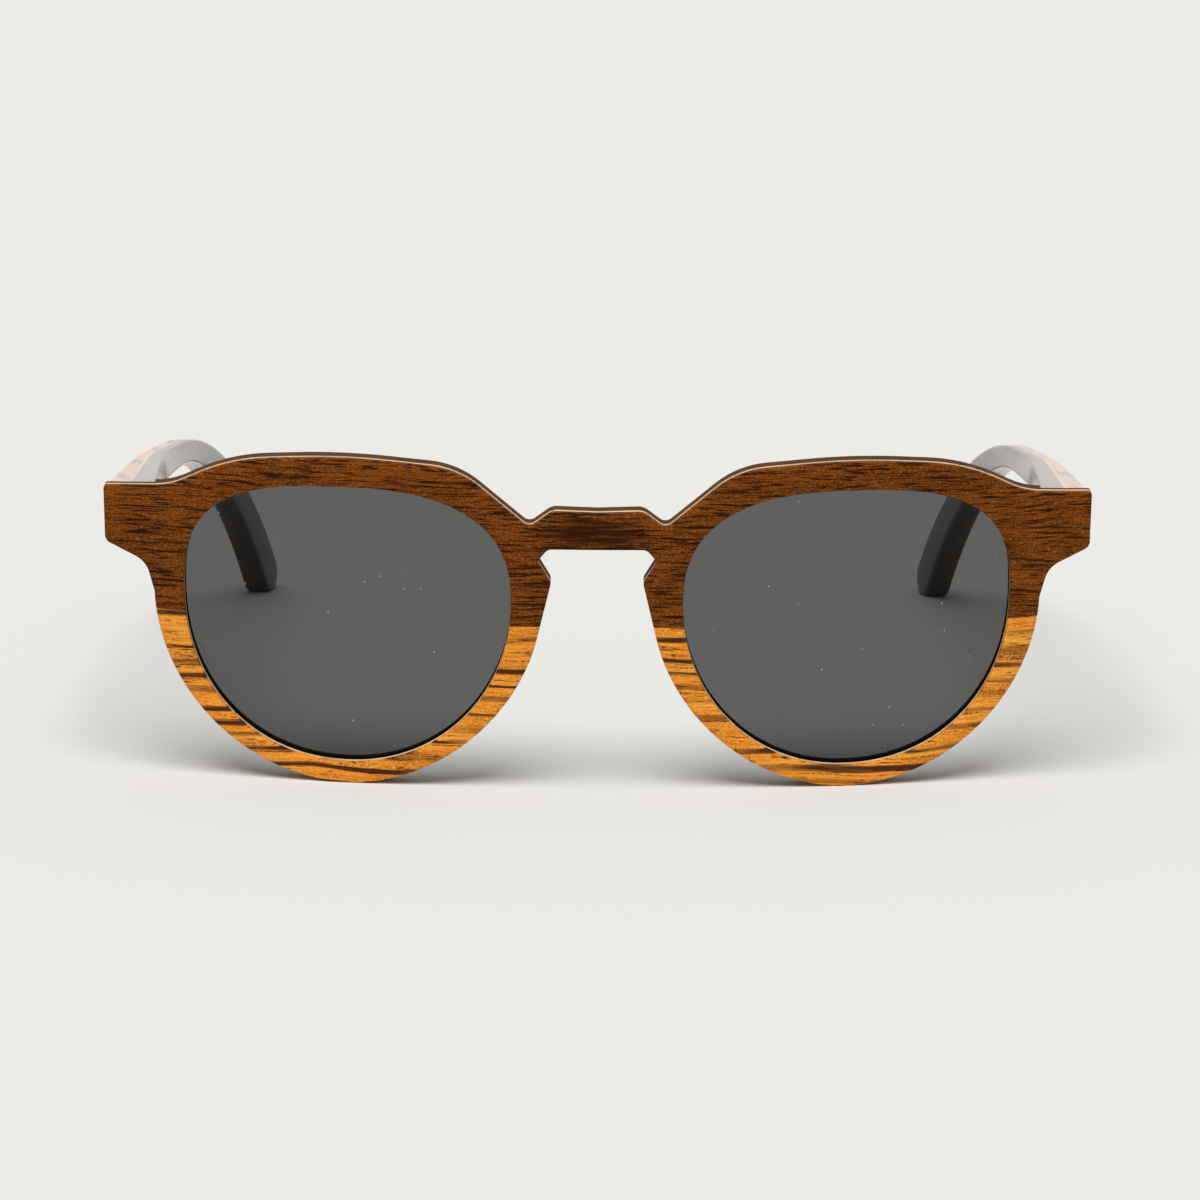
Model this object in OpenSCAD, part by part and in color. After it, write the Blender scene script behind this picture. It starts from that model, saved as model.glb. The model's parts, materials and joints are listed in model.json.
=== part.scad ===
// Wooden sunglasses: a curved laminated front with two tinted lenses, and two laminated
// temples on sprung hinges. They stand on the rim bottoms and the temple tips at Z = 0.
// X runs across the front, with the wearer's left at +X. Y runs from the front back to the tips.
// Heights on the front are measured up its leaning board, from the rim bottoms.

/* [Lens openings] */
// Width of each lens opening
lens_w = 47; // [42:0.5:52]
// Height of each lens opening
lens_h = 40.5; // [36:0.5:45]
// Height of the opening's widest level above its lowest point
lens_waist = 24.4; // [20:0.2:27]
// Distance between the two lens openings, over the nose
bridge_w = 24.5; // [22:0.5:28]
// Squareness of the upper outer corner, where 2 is an ellipse
corner_upper_outer = 2.9; // [2:0.05:3.6]
// Squareness of the upper inner corner
corner_upper_inner = 2.5; // [2:0.05:3.6]
// Squareness of the lower inner corner
corner_lower_inner = 2.05; // [1.9:0.05:2.4]
// Squareness of the lower outer corner
corner_lower_outer = 2.15; // [1.9:0.05:2.4]

/* [Rims and bridge] */
// Width of the rim beside a lens
rim_side = 4.4; // [3.6:0.1:6]
// Width of the rim above a lens
rim_top = 4.1; // [3:0.1:6]
// Width of the rim below a lens
rim_bottom = 3; // [2.2:0.1:4.5]
// Squareness of the rim's lower edge on the temple side, where 2 is an ellipse
rim_outer_square = 1.96; // [1.85:0.01:2.1]
// Squareness of the rim's lower edge on the nose side
rim_inner_square = 1.88; // [1.75:0.01:2.05]
// Height of the bridge at its middle
bridge_h = 5.3; // [4:0.1:7]
// Drop from the top of the rims to the top of the bridge
bridge_drop = 7; // [5:0.1:9]
// Width of the keyhole under the bridge, at its top
keyhole_top_w = 14; // [13.4:0.2:14.6]
// Widest part of the keyhole
keyhole_w = 17; // [16:0.2:18]
// Width between the two lips below the keyhole
keyhole_lip_w = 13.1; // [12.4:0.1:13.8]
// Drop from the underside of the bridge to the lips
keyhole_lip_drop = 4.9; // [4.4:0.1:5.6]
// Drop from the underside of the bridge to the widest part of the keyhole
keyhole_drop = 1.7; // [1.4:0.1:2.2]
// Radius of the keyhole's corners
keyhole_r = 1.2; // [0.8:0.1:1.4]
// Radius of the lips
keyhole_lip_r = 0.9; // [0.5:0.1:1.1]

/* [Brow line] */
// Width of the level top of the bridge
bridge_crown_w = 13; // [12:0.2:14]
// Rise of the bridge's top at its two ends
bridge_crown_rise = 0.2; // [0:0.05:0.5]
// Radius where the bridge's top turns down
bridge_crown_r = 2.4; // [1.2:0.1:3]
// Distance from a lens opening to the notch beside the bridge
notch_x = 2.55; // [2.2:0.05:2.9]
// Depth of the notch below the top of the bridge
notch_drop = 2.2; // [1.6:0.1:2.4]
// Radius in the notch
notch_r = 1.3; // [0.8:0.1:1.5]
// Reach of the brow's crown towards the nose
brow_in = 15.9; // [14.5:0.1:17]
// Fall of the crown at that place
brow_in_drop = 0.9; // [0.6:0.05:1.2]
// Radius of the brow above the nose
brow_in_r = 13; // [8:0.5:16]
// Rise of the crown's middle above the straight brow
brow_rise = 0.3; // [0:0.05:0.5]
// Offset of the crown's middle towards the temple
brow_mid = 0.6; // [0:0.1:1.2]
// Radius of the crown's middle
brow_mid_r = 90; // [60:5:120]
// Reach of the brow's crown towards the temple
brow_out = 16.6; // [15.5:0.1:17.5]
// Fall of the crown at that place
brow_out_drop = 0.95; // [0.6:0.05:1.2]
// Radius of the brow above the temple
brow_out_r = 28; // [18:1:34]

/* [End pieces] */
// Reach of an end piece beyond the side of the rim
end_len = 7.35; // [7:0.05:10]
// Height of an end piece and of the front of the temple behind it
end_h = 8.1; // [7.5:0.1:9.5]
// Drop from the top of the rims to the top of an end piece
end_drop = 6.1; // [5:0.1:7.5]
// Length of an end piece's top edge
end_top_l = 9.8; // [9:0.1:10.6]
// Rise of that edge towards the brow
end_top_rise = 0.7; // [0.4:0.05:1]
// Radius between that edge and the brow
end_blend_r = 12; // [8:0.5:14]
// Radius of the upper corner
end_corner_r = 0.5; // [0.3:0.1:1]
// Step in at the lower corner
end_under_in = 0.15; // [0.1:0.05:0.4]
// Radius of the lower corner
end_under_r = 1.2; // [0.8:0.1:1.6]
// Distance from the rim to the foot of the end piece
end_foot_x = 1.2; // [0.9:0.1:1.6]
// Drop of the foot below the lower corner
end_foot_drop = 2.6; // [2:0.1:3]
// Radius between the foot and the rim
end_foot_r = 3.5; // [2.5:0.1:4]

/* [Laminated front] */
// Radius of the front's curve around the face
front_r = 215; // [170:5:320]
// Forward lean of the front as it stands, in degrees
front_lean = 3; // [1:0.5:6]
// Thickness of the show veneer
veneer_t = 1; // [0.6:0.1:1.4]
// Thickness of the pale ply behind it
pale_t = 0.7; // [0.4:0.1:1]
// Thickness of the core ply that holds the lenses
core_t = 1.7; // [1.5:0.1:2.2]
// Thickness of the back ply
back_t = 1; // [0.9:0.1:1.6]
// Height of the joint between the two veneers
veneer_joint_h = 24; // [20:0.5:27]
// Thickness left at the end pieces, where the temples butt
end_t = 2.6; // [2.3:0.1:3]

/* [Lenses] */
// Depth of lens edge that sits behind the front lip
lens_lip = 0.75; // [0.5:0.05:1.2]
// Gap between a lens and its pocket
lens_gap = 0.05; // [0.02:0.01:0.1]

/* [Nose pads] */
// Radius of the rounded nose pads
pad_r = 1.9; // [1.5:0.1:2.1]
// Depth of a pad behind the front
pad_depth = 3.4; // [2.8:0.1:5]
// Radius of a pad's two ends
pad_end_r = 1.4; // [1:0.1:1.5]
// Depth of a pad at its two ends
pad_end_depth = 2.5; // [2:0.1:2.8]

/* [Temples] */
// Thickness of a temple at the hinge
temple_t = 6.8; // [6.4:0.1:7.2]
// Thickness of a temple from its middle to its tip
temple_slim_t = 4; // [3.2:0.1:4.6]
// Length over which the thickness tapers
temple_taper_l = 58; // [45:1:75]
// Thickness of the pale ply inside a temple
temple_pale_t = 0.5; // [0.3:0.1:0.8]
// Height of a temple at the start of the ear bend
temple_slim_h = 3.4; // [2.6:0.1:6]
// Height of a temple at its rounded tip
temple_tip_h = 6.2; // [5:0.2:8]
// Length of a temple from the front to the ear bend
temple_l = 81; // [70:1:95]
// Slope of a temple down towards the ear, in degrees
temple_slope = 3.7; // [2:0.1:5]
// Radius of the ear bend
bend_r = 74; // [60:1:90]
// Length of the straight part before the temple curves in towards the head
straight_l = 44; // [35:1:55]
// Radius of the inward curve
inward_r = 350; // [280:5:450]
// Step in from the end of the front to the outer face of a temple
temple_inset = 0.15; // [0:0.05:0.4]

/* [Hinges] */
// Diameter of the hinge barrel
barrel_d = 2.6; // [2.4:0.1:2.8]
// Diameter of the pivot screw
pivot_d = 1.2; // [1:0.05:1.4]
// Height of each of the two front knuckles
knuckle_h = 2.2; // [1.8:0.1:2.5]
// Height of the temple's eye between them
eye_h = 2.5; // [2:0.1:2.6]
// Diameter of the pivot screw's head
pivot_head_d = 2.2; // [1.8:0.1:2.4]
// Height of the pivot screw's head
pivot_head_h = 0.55; // [0.4:0.05:0.7]
// Width of the slot in the head
slot_w = 0.3; // [0.2:0.05:0.4]
// Depth of the slot in the head
slot_depth = 0.25; // [0.15:0.05:0.3]
// Drop from the middle of the temple to the middle of the hinge
pivot_drop = 0.4; // [0.2:0.1:0.6]
// Width of the leaf let into the back of the front
leaf_w = 2.6; // [2.4:0.1:2.8]
// Thickness of the leaf
leaf_t = 1; // [0.8:0.1:1.2]
// Depth to which the leaf is let in
leaf_sink = 0.5; // [0.3:0.05:0.6]
// Distance from the pivot in to the middle of the leaf
leaf_reach = 2.6; // [2.5:0.05:2.7]
// Margin of the leaf beyond its screw heads
leaf_margin = 0.6; // [0.4:0.1:0.8]
// Thickness of the arms from the leaf to its knuckles
leaf_arm_t = 1.1; // [0.9:0.1:1.3]
// Depth to which those arms lap into the leaf
arm_lap = 0.2; // [0.1:0.05:0.25]
// Diameter of the small fixing screws
screw_d = 0.9; // [0.7:0.1:1]
// Diameter of their heads
screw_head_d = 1.6; // [1.4:0.1:1.8]
// Height of their heads
screw_head_h = 0.45; // [0.3:0.05:0.6]
// Length of the shanks in the front
screw_l = 2.4; // [1.8:0.1:2.5]
// Length of the shank in a temple
tab_screw_l = 1.8; // [1.4:0.1:2]

/* [Spring housings] */
// Length of the housing let into a temple
housing_l = 11.5; // [11:0.1:13]
// Width of the housing
housing_w = 2.6; // [2.5:0.05:2.7]
// Height of the housing
housing_h = 3.2; // [2.8:0.1:3.6]
// Thickness of the housing's front wall
housing_wall = 1.4; // [1:0.1:1.6]
// Thickness of the housing's rear wall
housing_rear = 0.7; // [0.5:0.1:0.9]
// Set-in of the housing's face from the temple's inner face at the hinge
housing_set = 0.1; // [0.05:0.05:0.2]
// Length of the fixing tab behind the housing
tab_l = 3.4; // [2.8:0.1:4]
// Thickness of the fixing tab
tab_t = 0.8; // [0.6:0.1:1]
// Set-in of the tab from the housing's face
tab_step = 0.7; // [0.6:0.05:0.8]
// Diameter of the slider's rod
rod_d = 0.9; // [0.8:0.05:1]
// Outer diameter of the coil spring
spring_d = 1.8; // [1.7:0.05:1.85]
// Wire diameter of the spring
wire_d = 0.28; // [0.2:0.02:0.3]
// Length of the spring at rest
spring_l = 6.2; // [5.6:0.1:6.8]
// Number of turns in the spring
spring_turns = 6; // [4:1:7]
// Length of the nut on the end of the rod
nut_l = 1; // [0.8:0.1:1.2]
// Diameter of that nut
nut_d = 1.7; // [1.6:0.05:1.75]
// Length of the slider's arm behind the barrel
arm_past = 0.2; // [0.1:0.05:0.3]

/* [Fits] */
// Gap between the front and the end of a temple
butt_gap = 0.12; // [0.08:0.01:0.3]
// Gap beside the barrel and behind the front
barrel_gap = 0.25; // [0.15:0.05:0.4]
// Gap from the rebate's wall to the inner face of the temple
rebate_gap = 0.5; // [0.3:0.05:0.6]
// Running clearance of pivots and rods, at the radius
run_gap = 0.03; // [0.02:0.01:0.05]
// Clearance of fixed screws, at the radius
fixed_gap = 0.01; // [0.01:0.01:0.03]
// End gap between knuckles, and between slider and housing
end_gap = 0.08; // [0.05:0.01:0.15]
// Gap round the spring in its bore
bore_gap = 0.1; // [0.05:0.01:0.12]

/* [Hidden] */
$fn = 48;

left = 1;
right = -1;
walnut = "#6b3a14";
zebrawood = "#c47a24";
maple = "#e6d3ae";
inner_wood = "#8a5a32";
smoke = "#4a4c4e";
metal = "#b9b8ae";
steel = "#8f9194";
corner_steps = 6;
rim_steps = 44;
lens_steps = 96;
bend_steps = 16;
tip_steps = 10;
inward_steps = 20;
curve_fn = 720;
past = 1;

// Levels and widths of the front, on its board
lens_x = bridge_w / 2 + lens_w / 2;
lens_mid = rim_bottom + lens_waist;
rim_a = lens_w / 2 + rim_side;
brow_h = rim_bottom + lens_h + rim_top;
half_w = lens_x + rim_a + end_len;
bridge_top = brow_h - bridge_drop;
bridge_under = bridge_top - bridge_h;
end_top = brow_h - end_drop;
end_under = end_top - end_h;
lens_depth = veneer_t + pale_t;
core_depth = lens_depth + core_t;
front_t = core_depth + back_t;

// Setback of the curved front at a distance across, at a depth below its show face
function sag(x, depth = 0) = front_r - sqrt(pow(front_r - depth, 2) - x * x);

// The front leans about the rim bottoms, and is then lowered onto the ground
floor_z = -sin(front_lean) * sag(lens_x);
function lean_y(back, up) = back * cos(front_lean) - up * sin(front_lean);
function lean_z(back, up) = back * sin(front_lean) + up * cos(front_lean) + floor_z;
// Y of the back of the front at a distance across and a height above the ground
function back_y(x, z) = let (b = sag(x, front_t), up = (z - floor_z - b * sin(front_lean)) / cos(front_lean))
    lean_y(b, up);

// Side line of a temple: straight down the slope, then round the ear bend to the ground
end_mid = end_top - end_h / 2;
outer_x = half_w - temple_inset;
butt_back = sag(outer_x - temple_t / 2, end_t);
temple_y = lean_y(butt_back, end_mid);
temple_z = lean_z(butt_back, end_mid);
bend_y = temple_y + temple_l * cos(temple_slope);
bend_z = temple_z - temple_l * sin(temple_slope);
bend_o = [bend_y - bend_r * sin(temple_slope), bend_z - bend_r * cos(temple_slope)];
bend_end = acos((temple_tip_h / 2 - bend_o[1]) / bend_r);
tip_o = bend_o + bend_r * [sin(bend_end), cos(bend_end)];

// The middle of the depth is the origin
origin_y = -(tip_o[0] + temple_tip_h / 2 + lean_y(0, bridge_top)) / 2;

// Hinge: the pivot stands upright inside the temple and behind the front
hinge_h = 2 * knuckle_h + eye_h + 2 * end_gap;
pivot_x = outer_x - temple_t - barrel_gap - barrel_d / 2;
pivot_z = temple_z - pivot_drop;
pivot_y = back_y(pivot_x, pivot_z - hinge_h / 2) + barrel_d / 2 + barrel_gap;
rebate_x = outer_x - temple_t - rebate_gap;

// Places in the hinge's own frame, with the pivot at the middle
leaf_x = pivot_x - leaf_reach;
leaf_turn = asin(leaf_x / (front_r - front_t));
leaf_o = [-leaf_reach, back_y(leaf_x, pivot_z) - pivot_y];
leaf_arm_l = -leaf_o * [cos(leaf_turn), sin(leaf_turn)] - leaf_w / 2 + leaf_margin - barrel_d / 4;
leaf_screw_z = hinge_h / 2 - screw_head_d / 2 - leaf_margin;
housing_x = outer_x - temple_t - pivot_x + housing_set;
rod_x = housing_x + housing_w / 2;
arm_y = barrel_d / 2 + arm_past;
housing_y = arm_y + end_gap;
spring_y = housing_y + housing_wall;
nut_y = spring_y + spring_l;
bore_d = spring_d + 2 * bore_gap;
tab_y = housing_y + housing_l;
tab_x = housing_x + tab_step;

function unit(v) = v / norm(v);
function flat(v) = [v[0], v[1]];

// Arc that rounds the corner b between a and c
function corner(a, b, c, r) = let (
    u = unit(a - b), w = unit(c - b), half = acos(u * w) / 2,
    o = b + unit(u + w) * r / sin(half), s = b + u * r / tan(half) - o, e = b + w * r / tan(half) - o,
    start = atan2(s[1], s[0]), turn = (atan2(e[1], e[0]) - start + 540) % 360 - 180)
    [for (k = [0 : corner_steps]) let (t = start + turn * k / corner_steps) o + r * [cos(t), sin(t)]];

// Path of [x, y, corner radius], with the corners rounded
function rounded(v) = [for (i = [0 : len(v) - 1])
    each (v[i][2] > 0 ? corner(flat(v[i - 1]), flat(v[i]), flat(v[i + 1]), v[i][2]) : [flat(v[i])])];

// Half of the front's outline: bridge, brow and end piece, then the rim, then the keyhole
brow_path = [
    [0, bridge_top, 0],
    [bridge_crown_w / 2, bridge_top + bridge_crown_rise, bridge_crown_r],
    [bridge_w / 2 - notch_x, bridge_top - notch_drop, notch_r],
    [lens_x - brow_in, brow_h - brow_in_drop, brow_in_r],
    [lens_x + brow_mid, brow_h + brow_rise, brow_mid_r],
    [lens_x + brow_out, brow_h - brow_out_drop, brow_out_r],
    [half_w - end_top_l, end_top + end_top_rise, end_blend_r],
    [half_w, end_top, end_corner_r],
    [half_w - end_under_in, end_under, end_under_r],
    [lens_x + rim_a + end_foot_x, end_under - end_foot_drop, end_foot_r]
];
rim_from = -2;
rim_to = -168.6;
rim_path = [for (k = [0 : rim_steps]) let (a = rim_from + (rim_to - rim_from) * k / rim_steps,
    n = a > -90 ? rim_outer_square : rim_inner_square)
    [lens_x + rim_a * squared(cos(a), n), lens_mid * (1 + squared(sin(a), n)), 0]];
keyhole_path = [
    [keyhole_lip_w / 2, bridge_under - keyhole_lip_drop, keyhole_lip_r],
    [keyhole_w / 2, bridge_under - keyhole_drop, keyhole_r],
    [keyhole_top_w / 2, bridge_under, keyhole_r],
    [0, bridge_under, 0]
];
half_outline = rounded(concat(brow_path, rim_path, keyhole_path));
front_outline = concat(half_outline,
    [for (k = [len(half_outline) - 2 : -1 : 1]) [-half_outline[k][0], half_outline[k][1]]]);

// Lens opening, grown by a margin: four quarters of a squared ellipse that meet at the widest level
function squared(v, n) = sign(v) * pow(abs(v), 2 / n);
function squareness(c, s) = s >= 0 ? (c >= 0 ? corner_upper_outer : corner_upper_inner)
    : (c >= 0 ? corner_lower_outer : corner_lower_inner);
function lens_outline(grow) = [for (k = [0 : lens_steps - 1])
    let (a = 360 * k / lens_steps, c = cos(a), s = sin(a), n = squareness(c, s),
        rise = s >= 0 ? lens_h - lens_waist : lens_waist)
    [lens_x + (lens_w / 2 + grow) * squared(c, n), lens_mid + (rise + grow) * squared(s, n)]];

module sided(side) mirror([side < 0 ? 1 : 0, 0, 0]) children();

module lens_shape(grow) polygon(lens_outline(grow));

module front_shape(grow) difference() {
    polygon(front_outline);
    lens_shape(grow);
    mirror([1, 0]) lens_shape(grow);
}

// Solid behind a depth of the curved front, on the board
module behind(depth, over = past) translate([0, front_r, -over])
    cylinder(r = front_r - depth, h = brow_h + 2 * over, $fn = curve_fn);

// Curved ply between two depths, with a flat shape as its outline
module ply(depth, t) intersection() {
    difference() {
        behind(depth);
        behind(depth + t, 2 * past);
    }
    translate([0, sag(half_w, front_t) + past, 0]) rotate([90, 0, 0])
        linear_extrude(sag(half_w, front_t) + 2 * past) children();
}

module on_front() translate([0, origin_y, floor_z]) rotate([front_lean, 0, 0]) children();
module on_hinge() translate([pivot_x, pivot_y + origin_y, pivot_z]) children();
module on_leaf() on_hinge() translate(leaf_o) rotate([0, 0, leaf_turn]) children();

// Rebates behind the end pieces, on the board
module end_rebates() for (side = [left, right]) sided(side) intersection() {
    translate([rebate_x, 0, 0]) cube([half_w, front_r, brow_h]);
    behind(end_t);
}

module walnut_brow_veneer() color(walnut) on_front() ply(0, veneer_t) intersection() {
    front_shape(0);
    translate([-half_w - past, veneer_joint_h]) square([2 * (half_w + past), brow_h]);
}

module zebrawood_rim_veneer(side) color(zebrawood) on_front() ply(0, veneer_t) intersection() {
    front_shape(0);
    sided(side) translate([0, -past]) square([half_w, veneer_joint_h + past]);
}

module pale_ply() color(maple) on_front() ply(veneer_t, pale_t) front_shape(0);

module core_ply() color(inner_wood) difference() {
    on_front() difference() {
        ply(lens_depth, core_t) front_shape(lens_lip);
        end_rebates();
    }
    leaf_holes();
}

module back_ply() color(inner_wood) difference() {
    on_front() difference() {
        ply(core_depth, back_t) front_shape(0);
        end_rebates();
    }
    for (side = [left, right]) sided(side) leaf_plate();
    leaf_holes();
}

module lens(side) color(smoke, 0.7) sided(side) on_front()
    ply(lens_depth + lens_gap, core_t - 2 * lens_gap) lens_shape(lens_lip - lens_gap);

// Pad along the nose side of a rim, seated on the back ply
pad_angles = [184, 196, 209];
module pad_ball(angle, r, depth) {
    x = lens_x + (rim_a - rim_side / 2) * cos(angle);
    up = lens_mid + (lens_mid - rim_bottom / 2) * sin(angle);
    translate([x, sag(x, front_t) + depth - r, up]) sphere(r, $fn = 24);
}
module nose_pad(side) color(inner_wood) sided(side) on_front() intersection() {
    behind(front_t);
    hull() {
        pad_ball(pad_angles[0], pad_end_r, pad_end_depth);
        pad_ball(pad_angles[1], pad_r, pad_depth);
        pad_ball(pad_angles[2], pad_end_r, pad_end_depth);
    }
}

// Plate of a leaf, let into the back ply, and the leaf with its two knuckles before it is drilled
module leaf_plate() on_leaf() translate([-leaf_w / 2, -leaf_sink, -hinge_h / 2])
    cube([leaf_w, leaf_t, hinge_h]);
module leaf_body() {
    leaf_plate();
    for (z = [-hinge_h / 2, hinge_h / 2 - knuckle_h]) {
        on_hinge() translate([0, 0, z]) cylinder(d = barrel_d, h = knuckle_h);
        on_leaf() translate([leaf_w / 2 - leaf_margin, leaf_t - leaf_sink - arm_lap, z])
            cube([leaf_arm_l, leaf_arm_t, knuckle_h]);
    }
}

// Leaf screws, and with a gap the bores for them in the leaf and the plies under it
module leaf_screw_shape(gap, over) on_leaf() for (z = [-leaf_screw_z, leaf_screw_z])
    translate([0, leaf_t - leaf_sink, z]) rotate([90, 0, 0]) {
        translate([0, 0, -over]) cylinder(d = screw_head_d + 2 * gap, h = over + screw_head_h);
        cylinder(d = screw_d + 2 * gap, h = screw_head_h + screw_l);
    }
module leaf_holes() for (side = [left, right]) sided(side) leaf_screw_shape(fixed_gap, past);

module hinge_leaf(side) color(metal) sided(side) difference() {
    leaf_body();
    leaf_screw_shape(fixed_gap, past);
    on_hinge() translate([0, 0, -hinge_h / 2 - past])
        cylinder(d = pivot_d + 2 * fixed_gap, h = hinge_h + 2 * past);
}

module leaf_screws(side) color(steel) sided(side) leaf_screw_shape(0, 0);

module pivot_screw(side) color(steel) sided(side) on_hinge() difference() {
    union() {
        translate([0, 0, -hinge_h / 2]) cylinder(d = pivot_d, h = hinge_h + pivot_head_h);
        translate([0, 0, hinge_h / 2]) cylinder(d = pivot_head_d, h = pivot_head_h);
    }
    translate([-pivot_head_d, -slot_w / 2, hinge_h / 2 + pivot_head_h - slot_depth])
        cube([2 * pivot_head_d, slot_w, past]);
}

// Slider: the eye on the pivot, an arm across to the temple and the rod inside the spring
module hinge_slider(side) color(metal) sided(side) on_hinge() difference() {
    union() {
        translate([0, 0, -eye_h / 2]) cylinder(d = barrel_d, h = eye_h);
        translate([0, 0, -eye_h / 2]) cube([rod_x + rod_d, arm_y, eye_h]);
        translate([rod_x, arm_y / 2, 0]) rotate([-90, 0, 0])
            cylinder(d = rod_d, h = nut_y + nut_l - arm_y / 2);
    }
    translate([0, 0, -eye_h]) cylinder(d = pivot_d + 2 * run_gap, h = 2 * eye_h);
}

// Places along the rod, measured back from the pivot
module on_rod(y) on_hinge() translate([rod_x, y, 0]) rotate([-90, 0, 0]) children();

module slider_nut(side) color(steel) sided(side) on_rod(nut_y) difference() {
    cylinder(d = nut_d, h = nut_l);
    translate([0, 0, -past]) cylinder(d = rod_d + 2 * fixed_gap, h = nut_l + 2 * past);
}

// Coil spring: rings of the round wire along a helix, skinned as one tube with closed ends
ring_sides = 6;
rings_per_turn = 10;
spring_rings = spring_turns * rings_per_turn;
module hinge_spring(side) color(steel) sided(side) on_rod(spring_y) {
    coil_r = (spring_d - wire_d) / 2;
    rise = spring_l - wire_d - 2 * end_gap;
    points = [for (k = [0 : spring_rings], s = [0 : ring_sides - 1])
        let (a = 360 * k / rings_per_turn, b = 360 * s / ring_sides, r = coil_r + wire_d / 2 * cos(b))
        [r * cos(a), r * sin(a), end_gap + wire_d / 2 + rise * k / spring_rings + wire_d / 2 * sin(b)]];
    skin = [for (k = [0 : spring_rings - 1], s = [0 : ring_sides - 1])
        let (p = k * ring_sides + s, q = k * ring_sides + (s + 1) % ring_sides)
        each [[p, q, p + ring_sides], [q, q + ring_sides, p + ring_sides]]];
    first = [for (s = [1 : ring_sides - 2]) [0, s + 1, s]];
    last = [for (s = [1 : ring_sides - 2]) let (p = spring_rings * ring_sides) [p, p + s, p + s + 1]];
    polyhedron(points, concat(skin, first, last));
}

// Outside of the spring housing with its fixing tab
module housing_body() on_hinge() {
    translate([housing_x, housing_y, -housing_h / 2]) cube([housing_w, housing_l, housing_h]);
    translate([tab_x, tab_y - past, -housing_h / 2]) cube([tab_t, tab_l + past, housing_h]);
}

module housing_screw_shape(gap) on_hinge()
    translate([tab_x - screw_head_h, tab_y + tab_l / 2, 0]) rotate([0, 90, 0]) {
        cylinder(d = screw_head_d + 2 * gap, h = screw_head_h);
        cylinder(d = screw_d + 2 * gap, h = screw_head_h + tab_t + tab_screw_l);
    }

module hinge_housing(side) color(metal) sided(side) difference() {
    housing_body();
    on_rod(housing_y - past) cylinder(d = rod_d + 2 * run_gap, h = housing_wall + 2 * past);
    on_rod(spring_y) cylinder(d = bore_d, h = housing_l - housing_wall - housing_rear);
    housing_screw_shape(fixed_gap);
}

module housing_screw(side) color(steel) sided(side) housing_screw_shape(0);

// Side view of a temple as [y, z]: it tapers to the bend, swells to the tip and ends round
function bend_half(k) = let (f = k / bend_steps)
    (temple_slim_h + (temple_tip_h - temple_slim_h) * f * f * (3 - 2 * f)) / 2;
function bend_point(k, out) = let (a = temple_slope + (bend_end - temple_slope) * k / bend_steps)
    bend_o + (bend_r + out * bend_half(k)) * [sin(a), cos(a)];
fore = [temple_y, temple_z];
down_slope = [cos(temple_slope), -sin(temple_slope)];
up_slope = [sin(temple_slope), cos(temple_slope)];
fore_l = 6;
fore_half = end_h / 2;
temple_side = concat(
    [fore - fore_l * down_slope + fore_half * up_slope, fore + fore_half * up_slope],
    [for (k = [0 : bend_steps]) bend_point(k, 1)],
    [for (k = [1 : tip_steps - 1]) let (a = 90 - bend_end - 180 * k / tip_steps)
        tip_o + temple_tip_h / 2 * [cos(a), sin(a)]],
    [for (k = [bend_steps : -1 : 0]) bend_point(k, -1)],
    [fore - fore_half * up_slope, fore - fore_l * down_slope - fore_half * up_slope]
);

// Plan of a temple: outer face and thickness at a distance back
curve_y = temple_y + straight_l;
tail_y = tip_o[0] + temple_tip_h;
function outer_at(y) = y < curve_y ? outer_x
    : outer_x - inward_r + sqrt(pow(inward_r, 2) - pow(y - curve_y, 2));
function thick_at(y) = let (f = min(1, max(0, (y - temple_y) / temple_taper_l)))
    temple_t + (temple_slim_t - temple_t) * f;
// Share of the way through the thickness, from the outer face at 0 to the inner face at 1, and an offset
function plan_at(y, share, off) = [outer_at(y) - share * thick_at(y) - off, y];
stations = concat([temple_y - fore_l, temple_y],
    [for (k = [0 : inward_steps]) curve_y + (tail_y - curve_y) * k / inward_steps]);
function temple_plan(share_a, off_a, share_b, off_b) = concat(
    [for (y = stations) plan_at(y, share_a, off_a)],
    [for (k = [len(stations) - 1 : -1 : 0]) plan_at(stations[k], share_b, off_b)]);

// Ply of a temple, trimmed at its front end to sit close behind the leaning end piece
module temple_ply(share_a, off_a, share_b, off_b) intersection() {
    translate([0, origin_y, 0]) rotate([90, 0, 90]) linear_extrude(half_w + past) polygon(temple_side);
    translate([0, origin_y, -past]) linear_extrude(brow_h + 2 * past)
        polygon(temple_plan(share_a, off_a, share_b, off_b));
    on_front() behind(end_t + butt_gap, brow_h);
}

module temple_outer_ply(side) color(zebrawood) sided(side) temple_ply(0, 0, 0.5, -temple_pale_t / 2);

module temple_pale_ply(side) color(maple) sided(side)
    temple_ply(0.5, -temple_pale_t / 2, 0.5, temple_pale_t / 2);

module temple_inner_ply(side) color(walnut) sided(side) difference() {
    temple_ply(0.5, temple_pale_t / 2, 1, 0);
    housing_body();
    housing_screw_shape(fixed_gap);
    on_hinge() translate([-barrel_d, -barrel_d - fore_l, -eye_h / 2 - end_gap])
        cube([barrel_d + rod_x + rod_d + end_gap, barrel_d + fore_l + housing_y, eye_h + 2 * end_gap]);
}

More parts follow.
